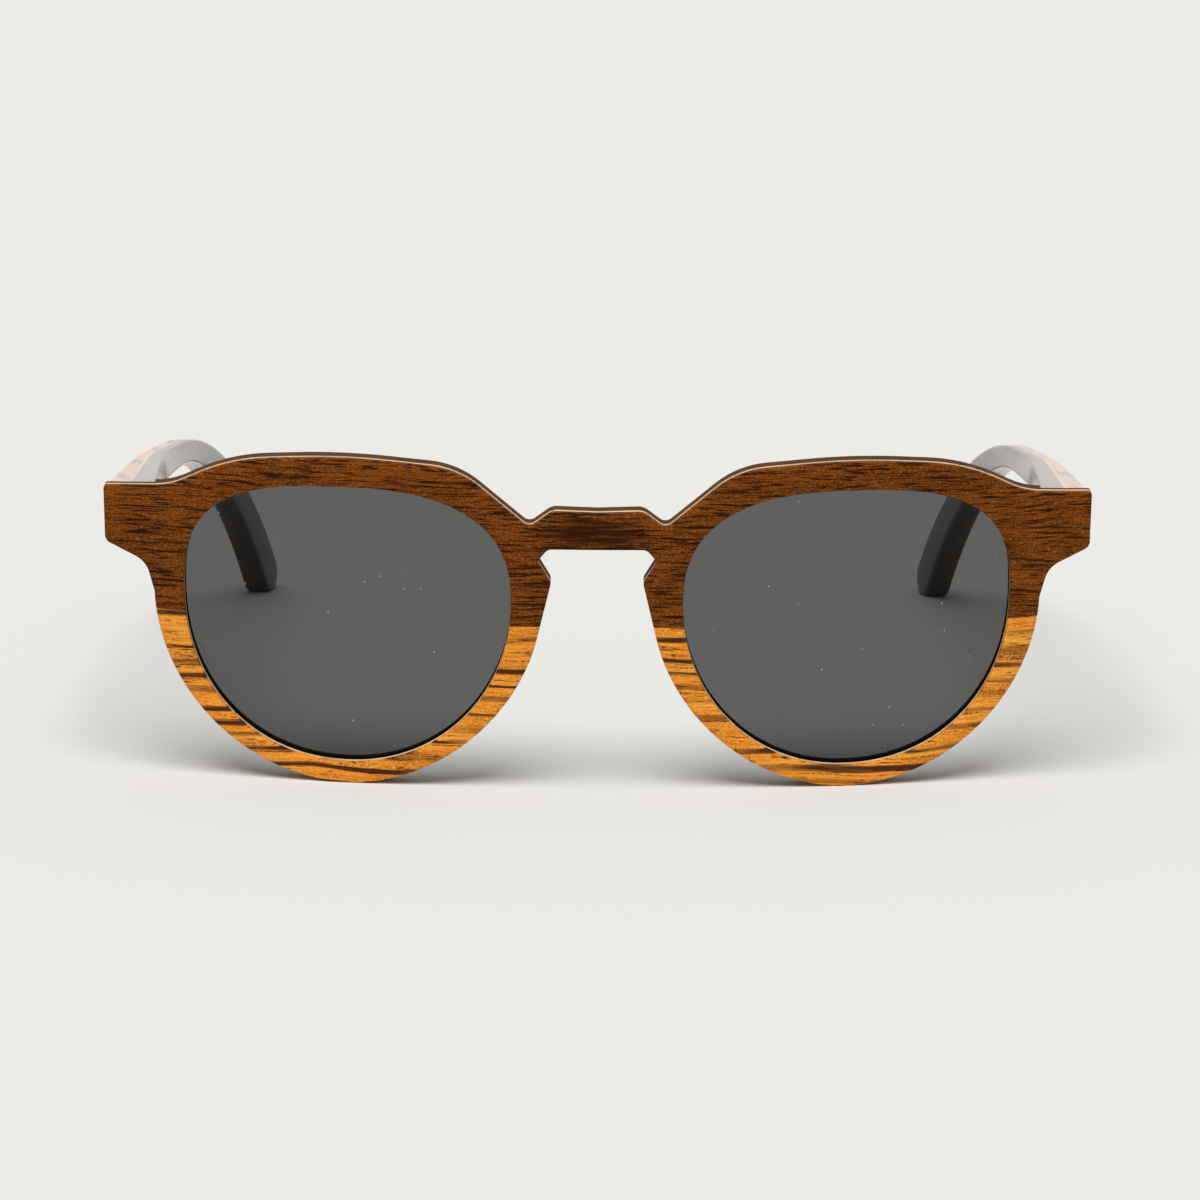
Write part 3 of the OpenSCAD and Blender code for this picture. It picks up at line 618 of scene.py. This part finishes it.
def finish_materials():
    """The finishes, each made once"""
    f = bpy.context.scene.sunglasses_finishes
    have = bpy.data.materials
    makers = {
        "walnut": lambda n: walnut(n, f.walnut, f.walnut_fleck),
        "zebrawood": lambda n: zebrawood(n, f),
        "zebrawood_temple": lambda n: zebrawood(n, f, 1, 0.2, 0.2),
        "pale_wood": lambda n: plain_wood(n, f.maple),
        "walnut_temple": lambda n: walnut(n, shade(f.walnut, 0.6), f.walnut_fleck, 1, 0.2, 0.22),
        "pale_wood_temple": lambda n: plain_wood(n, f.maple, 1),
        "inner_wood": lambda n: plain_wood(n, f.core),
        "smoke_lens": lambda n: smoke(n, f),
        "hinge_metal": lambda n: metal(n, f.metal, 0.34),
        "screw_steel": lambda n: metal(n, shade(f.metal, 0.8), 0.28),
    }
    return {n: have.get(n + "_finish") or make(n + "_finish") for n, make in makers.items()}


# Operators

class SUNGLASSES_OT_front(bpy.types.Operator):
    """Model the laminated front: the veneers, the pale ply and the back ply"""

    bl_idname = "sunglasses.front"
    bl_label = "Laminated front"

    def execute(self, context):
        front = Front(context.scene.sunglasses_front)
        looks = finish_materials()
        loops = [front.outline(), front.lens_outline(1), front.lens_outline(-1)]
        joint = (0, front.joint_h, 0)
        brow = curved_ply(front, "walnut_brow", loops, 0, front.veneer_t, [(joint, (0, 1, 0))], ("front",))
        finish_piece(brow, looks["walnut"], "front", "walnut", "walnut_brow_veneer")
        for side, sign in SIDES:
            keep = [(joint, (0, -1, 0)), ((0, 0, 0), (sign, 0, 0))]
            rim = curved_ply(front, f"zebrawood_rim_{side}", loops, 0, front.veneer_t, keep, ("front",))
            finish_piece(rim, looks["zebrawood"], "front", "zebrawood", f"zebrawood_rim_veneer_{side}")
        pale = curved_ply(front, "pale_layer", loops, front.veneer_t, front.pale_t)
        finish_piece(pale, looks["pale_wood"], "front", "pale_wood", "pale_ply")
        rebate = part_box("back_ply")[1].x / MM
        ends = [((rebate, 0, 0), (-1, 0, 0)), ((-rebate, 0, 0), (1, 0, 0))]
        depth = front.front_t - front.back_t
        back = curved_ply(front, "back_layer", loops, depth, front.back_t, ends, ("back",))
        finish_piece(back, looks["inner_wood"], "front", "inner_wood", "back_ply")
        return {"FINISHED"}


class SUNGLASSES_OT_lenses(bpy.types.Operator):
    """Model the two curved lenses"""

    bl_idname = "sunglasses.lenses"
    bl_label = "Lenses"

    def execute(self, context):
        front = Front(context.scene.sunglasses_front)
        looks = finish_materials()
        lap, play = 0.7, 0.05
        depth, t = front.veneer_t + front.pale_t + play, front.core_t - 2 * play
        for side, sign in SIDES:
            loop = front.lens_outline(sign, lap)
            lens = curved_ply(front, f"smoke_lens_{side}", [loop], depth, t, step=0.8)
            finish_piece(lens, looks["smoke_lens"], "front", "smoke_lens", f"lens_{side}")
        return {"FINISHED"}


class SUNGLASSES_OT_nose_pads(bpy.types.Operator):
    """Smooth the two nose pads"""

    bl_idname = "sunglasses.nose_pads"
    bl_label = "Nose pads"

    def execute(self, context):
        looks = finish_materials()
        for side, _ in SIDES:
            pad = copy_of(f"nose_pad_{side}", f"pad_{side}")
            remesh = pad.modifiers.new("even", "REMESH")
            remesh.mode, remesh.voxel_size = "VOXEL", 0.16 * MM
            bpy.ops.object.modifier_apply(modifier="even")
            soft = pad.modifiers.new("soft", "SMOOTH")
            soft.iterations = 4
            bpy.ops.object.modifier_apply(modifier="soft")
            finish_piece(pad, looks["inner_wood"], "front", "inner_wood", f"nose_pad_{side}", angle=60)
        return {"FINISHED"}


class Temple:
    """Side view and plan of a temple, in mm in the row frame"""

    # How far the outer face lies inside the front's end, and the gap between the front and the temple
    inset, gap = 0.15, 0.12

    def __init__(self, p, front):
        self.front = front
        self.thick, self.slim, self.taper = p.thick / MM, p.slim / MM, p.taper / MM
        self.pale_t, self.slim_h, self.tip_h = p.pale_t / MM, p.slim_h / MM, p.tip_h / MM
        self.straight, self.inward_r, self.edge = p.straight / MM, p.inward_r / MM, p.edge / MM
        self.outer_x = front.half_w - self.inset
        s, c = math.sin(front.lean), math.cos(front.lean)
        mid = front.end_top - front.end_h / 2
        b = front.sag(self.outer_x - self.thick / 2, front.end_t)
        self.y, self.z = b * c - mid * s + front.origin_y, b * s + mid * c + front.floor_z
        self.slope, self.bend_r = p.slope, p.bend_r / MM
        along_y, along_z = math.cos(self.slope), -math.sin(self.slope)
        length = p.length / MM
        self.bend_o = Vector((self.y + length * along_y - self.bend_r * math.sin(self.slope),
                              self.z + length * along_z - self.bend_r * math.cos(self.slope)))
        self.bend_end = math.acos((self.tip_h / 2 - self.bend_o.y) / self.bend_r)
        self.tip = self.bend_o + self.bend_r * Vector((math.sin(self.bend_end), math.cos(self.bend_end)))

    def stations(self, straights=16, bends=26, tips=9):
        """Middle point, upward direction and half height of each section, from the hinge to the tip"""
        up = Vector((math.sin(self.slope), math.cos(self.slope)))
        fore, knee = Vector((self.y, self.z)), self.bend_o + self.bend_r * up
        out = []
        for k in range(straights):
            f = k / straights
            height = self.front.end_h + (self.slim_h - self.front.end_h) * f
            out.append((fore.lerp(knee, f), up, height / 2))
        for k in range(bends + 1):
            f = k / bends
            a = self.slope + (self.bend_end - self.slope) * f
            half = (self.slim_h + (self.tip_h - self.slim_h) * f * f * (3 - 2 * f)) / 2
            up = Vector((math.sin(a), math.cos(a)))
            out.append((self.bend_o + self.bend_r * up, up, half))
        ahead, r = Vector((up.y, -up.x)), self.tip_h / 2
        for k in range(1, tips):
            a = math.pi / 2 * k / tips
            out.append((self.tip + ahead * r * math.sin(a), up, r * math.cos(a)))
        return out

    def plan(self, y, share, off):
        d = y - self.y - self.straight
        x = self.outer_x - (self.inward_r - math.sqrt(self.inward_r ** 2 - d * d) if d > 0 else 0)
        f = min(1, max(0, (y - self.y) / self.taper))
        return x - share * (self.thick + (self.slim - self.thick) * f) - off

    def section(self, y, half, outer, inner, open_face, steps=5):
        """Section of a ply as (w, v): w from its outer face at 0 to its inner one at 1, and v from -1 to 1
        in height. The corners of the open face, 0 or 1, are rounded."""
        if open_face is None:
            return [(0, -1), (0, 1), (1, 1), (1, -1)]
        t = self.plan(y, *outer) - self.plan(y, *inner)
        r = min(self.edge, 0.8 * half, 0.8 * t)
        low = []
        for k in range(steps + 1):
            a = math.pi / 2 * k / steps
            low.append(((r - r * math.sin(a)) / t, (r - r * math.cos(a)) / half - 1))
        ring = [(1, -1)] + low + [(w, -v) for w, v in reversed(low)] + [(1, 1)]
        return [(abs(open_face - w), v) for w, v in ring]


class SUNGLASSES_OT_temples(bpy.types.Operator):
    """Model the three plies of each temple"""

    bl_idname = "sunglasses.temples"
    bl_label = "Temples"

    def execute(self, context):
        front = Front(context.scene.sunglasses_front)
        temple = Temple(context.scene.sunglasses_temples, front)
        looks = finish_materials()
        half = temple.pale_t / 2
        # layer, its outer and inner face as (share of the thickness, offset), its open face and its wood
        plies = (
            ("outer", (0, 0), (0.5, -half), 0.0, "zebrawood"),
            ("pale", (0.5, -half), (0.5, half), None, "pale_wood"),
            ("inner", (0.5, half), (1, 0), 1.0, "walnut"))
        for side, sign in SIDES:
            for layer, outer, inner, open_face, wood in plies:
                piece = self.ply(f"temple_{layer}_{side}", temple, sign, outer, inner, open_face)
                if layer == "inner":
                    self.let_in_housing(piece, side, sign)
                look, body = looks[wood + "_temple"], f"temple_{side}"
                finish_piece(piece, look, body, wood, f"temple_{layer}_ply_{side}")
        return {"FINISHED"}

    def ply(self, name, temple, sign, outer, inner, open_face):
        """Section face extruded from station to station, then set on the temple's curve"""
        stations = temple.stations()
        count = len(temple.section(temple.y, 1, outer, inner, open_face))
        clear_selection()
        bpy.ops.mesh.primitive_circle_add(vertices=count, radius=1, fill_type="NGON")
        piece = bpy.context.object
        piece.name = piece.data.name = name
        bpy.ops.object.mode_set(mode="EDIT")
        bpy.ops.mesh.select_mode(type="FACE")
        bpy.ops.mesh.select_all(action="SELECT")
        for _ in stations[1:]:
            bpy.ops.mesh.extrude_region_move(TRANSFORM_OT_translate={"value": (0, 0, 1)})
        start = math.atan2(piece.data.vertices[0].co.y, piece.data.vertices[0].co.x)

        def set_on(p):
            k = round(p.z)
            (y, z), up, half = stations[k]
            turn = (math.atan2(p.y, p.x) - start) % (2 * math.pi)
            ring = temple.section(y, half, outer, inner, open_face)
            w, v = ring[round(turn * count / (2 * math.pi)) % count]
            y, z = y + up.x * v * half, z + up.y * v * half
            share, off = (a + (b - a) * w for a, b in zip(outer, inner))
            x = temple.plan(y, share, off)
            if k == 0:
                y = temple.front.behind(x, z, temple.front.end_t + temple.gap)
            return Vector((sign * x, y, z)) * MM

        move_points(piece, set_on)
        return piece

    def let_in_housing(self, piece, side, sign):
        """Cuts the pocket for the spring housing and the slot for the slider's arm"""
        open_x, cheek, arm_gap, ahead = 2 * MM, 0.6 * MM, 0.08 * MM, 4 * MM
        overlap = 0.1 * MM
        low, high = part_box(f"hinge_housing_{side}")
        arm_low, arm_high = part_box(f"hinge_slider_{side}")
        leaf_low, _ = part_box(f"hinge_leaf_{side}")
        x0, x1 = sorted((sign * low.x, sign * high.x))
        pocket_box = ((x0 - open_x, x1), (low.y, high.y), (low.z, high.z))
        slot_box = ((x0 - 2 * open_x, x1 - cheek), (leaf_low.y - ahead, low.y + overlap),
                    (arm_low.z - arm_gap, arm_high.z + arm_gap))
        for xs, ys, zs in (pocket_box, slot_box):
            clear_selection()
            middle = [(a + b) / 2 for a, b in (xs, ys, zs)]
            bpy.ops.mesh.primitive_cube_add(size=1, location=(sign * middle[0], middle[1], middle[2]))
            cutter = bpy.context.object
            cutter.scale = [b - a for a, b in (xs, ys, zs)]
            clear_selection()
            piece.select_set(True)
            bpy.context.view_layer.objects.active = piece
            pocket = piece.modifiers.new("pocket", "BOOLEAN")
            pocket.operation, pocket.object, pocket.solver = "DIFFERENCE", cutter, "EXACT"
            bpy.ops.object.modifier_apply(modifier="pocket")
            bpy.data.objects.remove(cutter)


class SUNGLASSES_OT_hinges(bpy.types.Operator):
    """Make the springs, and finish the pieces that keep their solids"""

    bl_idname = "sunglasses.hinges"
    bl_label = "Hinges and core"

    def execute(self, context):
        looks = finish_materials()
        record = frame["record"]
        slots = {part["node"]: part["material_slot"] for part in record["subparts"]}
        for side, _ in SIDES:
            spring = f"hinge_spring_{side}"
            coil = copy_of(spring, f"coil_{side}")
            finish_piece(coil, looks["screw_steel"], f"link_{side}", "screw_steel", spring, angle=60)
            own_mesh(coil)
        for name, node in frame["nodes"].items():
            if node.hide_render:
                continue
            node.data.materials.clear()
            node.data.materials.append(looks[slots[name]])
        return {"FINISHED"}


class SUNGLASSES_OT_stage(bpy.types.Operator):
    """Set the floor, the light and the camera"""

    bl_idname = "sunglasses.stage"
    bl_label = "Stage"

    def execute(self, context):
        ground = tuple(context.scene.sunglasses_finishes.ground)
        scene = context.scene
        clear_selection()
        bpy.ops.mesh.primitive_plane_add(size=30)
        floor = context.object
        floor.name = "floor"
        g = Graph("floor_finish")
        floor.data.materials.append(g.finish((*ground, 1), 0.7, gloss=0.0))
        self.surround(scene, ground)
        self.lamp(scene)
        self.camera(scene)
        scene.view_settings.view_transform = "Standard"
        return {"FINISHED"}

    def surround(self, scene, ground):
        """Dim even fill for the shadows; the camera, gloss and glass see the pale ground colour instead"""
        world = bpy.data.worlds.new("surround")
        scene.world = world
        world.use_nodes = True
        tree = world.node_tree
        nodes, link = tree.nodes, tree.links.new
        fill, out = nodes["Background"], nodes["World Output"]
        fill.inputs["Color"].default_value = (1, 0.98, 0.94, 1)
        fill.inputs["Strength"].default_value = 0.3
        seen = nodes.new("ShaderNodeBackground")
        seen.inputs["Color"].default_value = (*ground, 1)
        path = nodes.new("ShaderNodeLightPath").outputs
        direct = path["Is Camera Ray"]
        for ray in ("Is Glossy Ray", "Is Transmission Ray"):
            either = nodes.new("ShaderNodeMath")
            either.operation = "MAXIMUM"
            link(direct, either.inputs[0])
            link(path[ray], either.inputs[1])
            direct = either.outputs[0]
        mix = nodes.new("ShaderNodeMixShader")
        link(direct, mix.inputs[0])
        link(fill.outputs[0], mix.inputs[1])
        link(seen.outputs[0], mix.inputs[2])
        link(mix.outputs[0], out.inputs["Surface"])

    def lamp(self, scene):
        """Wide soft light from above, evenly strong all over the floor"""
        direction = Vector((0.08, 0.45, -1.0))
        data = bpy.data.lights.new("soft_key", "SUN")
        data.energy, data.angle = 2.58, math.radians(45)
        lamp = bpy.data.objects.new("soft_key", data)
        lamp.rotation_euler = direction.to_track_quat("-Z", "Y").to_euler()
        scene.collection.objects.link(lamp)

    def camera(self, scene):
        """Camera in front of the bridge and above it, at the photograph's angle"""
        distance, height = 0.8, 0.184
        data = bpy.data.cameras.new("camera")
        data.sensor_width, data.lens = 36, 171.8
        data.clip_start, data.clip_end = 0.01, 50
        camera = bpy.data.objects.new("camera", data)
        pitch, yaw, roll = math.radians(11.063), math.radians(0.031), math.radians(0.4)
        ahead = Vector((math.sin(yaw) * math.cos(pitch), math.cos(yaw) * math.cos(pitch), -math.sin(pitch)))
        right = ahead.cross(Vector((0, 0, 1))).normalized()
        up = right.cross(ahead)
        across = right * math.cos(roll) + up * math.sin(roll)
        above = up * math.cos(roll) - right * math.sin(roll)
        turn = Matrix((across, above, -ahead)).transposed().to_4x4()
        at = Vector((0, Front(scene.sunglasses_front).origin_y * MM - distance, height))
        camera.matrix_world = Matrix.Translation(at) @ turn
        scene.collection.objects.link(camera)
        scene.camera = camera


class SUNGLASSES_PT_panel(bpy.types.Panel):
    """Sidebar list of the steps and their settings"""

    bl_idname = "SUNGLASSES_PT_panel"
    bl_label = "Wooden sunglasses"
    bl_space_type = "VIEW_3D"
    bl_region_type = "UI"
    bl_category = "Sunglasses"

    def draw(self, context):
        for step in STEPS:
            self.layout.operator(step.bl_idname)
        for group in GROUPS:
            box = self.layout.box()
            settings = getattr(context.scene, group)
            for key in settings.__annotations__:
                box.prop(settings, key)


STEPS = (SUNGLASSES_OT_front, SUNGLASSES_OT_lenses, SUNGLASSES_OT_nose_pads, SUNGLASSES_OT_temples,
         SUNGLASSES_OT_hinges, SUNGLASSES_OT_stage)
GROUPS = {"sunglasses_front": FrontSizes, "sunglasses_temples": TempleSizes, "sunglasses_finishes": Finishes}


def register():
    for cls in (*GROUPS.values(), *STEPS, SUNGLASSES_PT_panel):
        bpy.utils.register_class(cls)
    for name, cls in GROUPS.items():
        setattr(bpy.types.Scene, name, bpy.props.PointerProperty(type=cls))


def unregister():
    for name in GROUPS:
        delattr(bpy.types.Scene, name)
    for cls in reversed((*GROUPS.values(), *STEPS, SUNGLASSES_PT_panel)):
        bpy.utils.unregister_class(cls)


def main():
    register()
    bpy.ops.sunglasses.front()
    bpy.ops.sunglasses.lenses()
    bpy.ops.sunglasses.nose_pads()
    bpy.ops.sunglasses.temples()
    bpy.ops.sunglasses.hinges()
    bpy.ops.sunglasses.stage()


if __name__ == "__main__":
    main()
